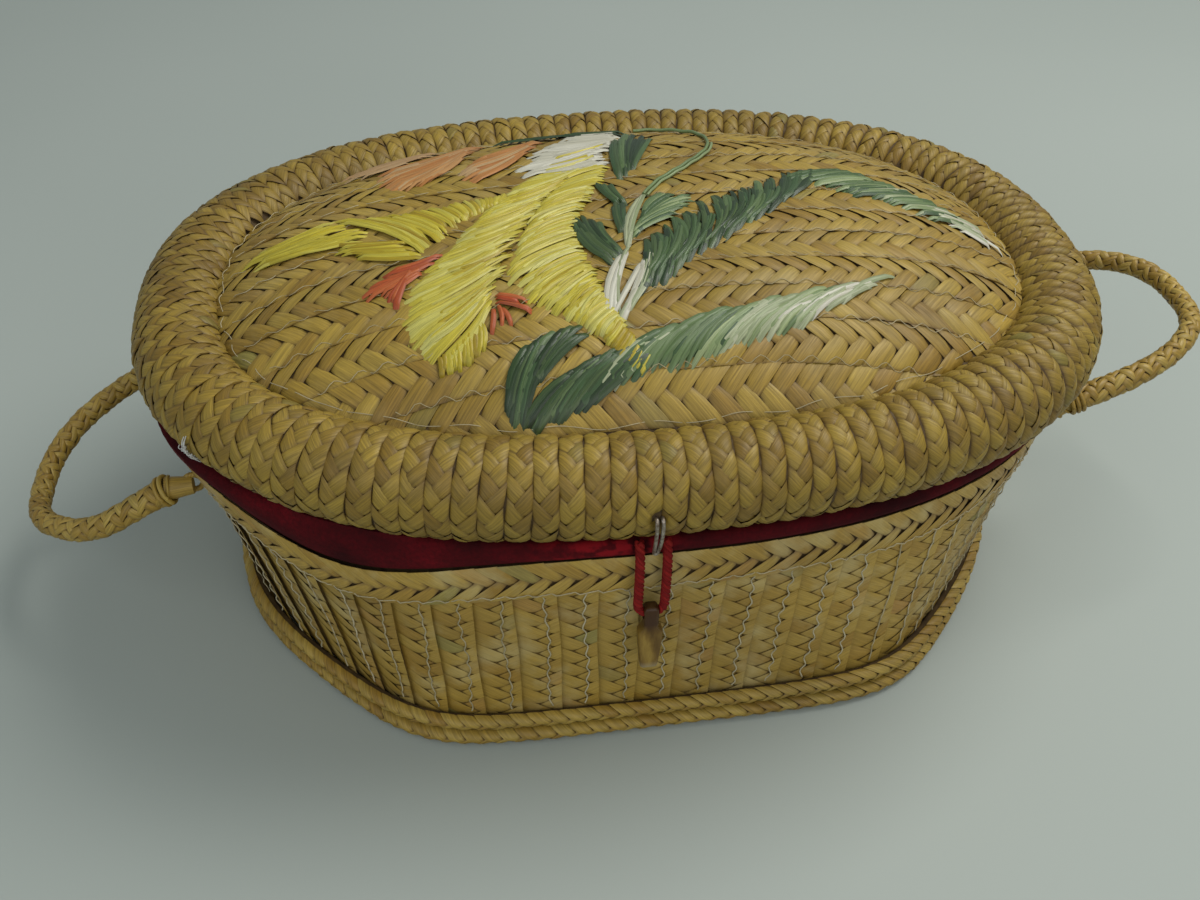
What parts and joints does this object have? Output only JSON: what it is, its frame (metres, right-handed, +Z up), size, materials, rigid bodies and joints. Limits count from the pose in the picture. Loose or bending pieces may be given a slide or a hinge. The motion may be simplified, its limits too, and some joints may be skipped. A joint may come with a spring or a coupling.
{
  "type": "lidded straw work basket",
  "caption": "Oval work basket of plaited straw: domed lid embroidered in raffia, thick wound rim, velvet lining, swinging end handles and a cord-and-peg latch.",
  "frame": {"origin": "on the floor under the middle of the basket", "axes": "+X along the basket's length to its right-hand handle, -Y towards the latch at the front, +Z up"},
  "size_m": [0.3958, 0.2219, 0.1323],
  "materials": {
    "straw_dome": "satin",
    "straw_rim": "satin",
    "straw_body": "satin",
    "straw_handle": "satin",
    "card": "matte",
    "stuffing": "matte",
    "cane": "satin",
    "velvet": "matte",
    "red_cord": "matte",
    "thread": "matte",
    "horn": "gloss",
    "steel_wire": "satin",
    "raffia_yellow": "satin",
    "raffia_white": "satin",
    "raffia_orange": "satin",
    "raffia_red": "satin",
    "raffia_dark_green": "satin",
    "raffia_pale_green": "satin"
  },
  "bodies": {
    "basket": {"base_board": "card", "base_plait": "straw_body", "base_lining_pad": "velvet", "wall_board": "card", "wall_plait_front": "straw_body", "wall_plait_back": "straw_body", "wall_plait_left": "straw_body", "wall_plait_right": "straw_body", "wall_lining": "velvet", "top_band": "straw_body", "foot_braid_lower": "straw_rim", "foot_braid_upper": "straw_rim", "handle_eye_left_front": "straw_handle", "handle_eye_left_rear": "straw_handle", "handle_eye_right_front": "straw_handle", "handle_eye_right_rear": "straw_handle", "lid_hinge_loop_left": "thread", "lid_hinge_loop_right": "thread"},
    "lid": {"lid_board": "card", "lid_lining": "velvet", "rim_core": "stuffing", "rim_wrap": "straw_rim", "latch_staple": "steel_wire", "dome_row_01": "straw_dome", "dome_row_02": "straw_dome", "dome_row_03": "straw_dome", "dome_row_04": "straw_dome", "dome_row_05": "straw_dome", "dome_row_06": "straw_dome", "dome_row_07": "straw_dome", "dome_row_08": "straw_dome", "dome_row_09": "straw_dome", "dome_row_10": "straw_dome", "dome_row_11": "straw_dome", "dome_row_12": "straw_dome", "dome_row_13": "straw_dome", "accent_red": "raffia_red", "bud_orange": "raffia_orange", "bud_salmon": "raffia_orange", "leaf_dark_small": "raffia_dark_green", "leaf_front_dark": "raffia_dark_green", "leaf_front_pale": "raffia_pale_green", "leaf_green_arc": "raffia_dark_green", "leaf_green_long": "raffia_dark_green", "leaf_green_upper": "raffia_dark_green", "leaf_pale_long": "raffia_pale_green", "leaf_pale_small": "raffia_pale_green", "petal_white": "raffia_white", "petal_yellow_left": "raffia_yellow", "petal_yellow_right": "raffia_yellow", "petal_yellow_side": "raffia_yellow", "stem_white": "raffia_white"},
    "handle_left": {"handle_core_left": "cane", "handle_wrap_left": "straw_handle"},
    "handle_right": {"handle_core_right": "cane", "handle_wrap_right": "straw_handle"},
    "latch_cord": {"latch_loop": "red_cord"},
    "peg": {"latch_peg": "horn"}
  },
  "joints": [
    {"name": "lid_hinge", "type": "hinge", "parent": "basket", "child": "lid", "pos_m": [0, 0.1062, 0.0838], "axis": [-1, 0, 0], "range_deg": [0, 100]},
    {"name": "left_handle_swing", "type": "hinge", "parent": "basket", "child": "handle_left", "pos_m": [-0.1412, 0, 0.062], "axis": [0, 1, 0], "range_deg": [-53, 72]},
    {"name": "right_handle_swing", "type": "hinge", "parent": "basket", "child": "handle_right", "pos_m": [0.1412, 0, 0.062], "axis": [0, -1, 0], "range_deg": [-90, 35]},
    {"name": "latch_cord_swing", "type": "hinge", "parent": "lid", "child": "latch_cord", "pos_m": [-0.009, -0.1036, 0.086], "axis": [-1, 0, 0], "range_deg": [0, 95]},
    {"name": "peg_swing", "type": "hinge", "parent": "latch_cord", "child": "peg", "pos_m": [-0.009, -0.1052, 0.0585], "axis": [-1, 0, 0], "range_deg": [-8, 100]}
  ]
}
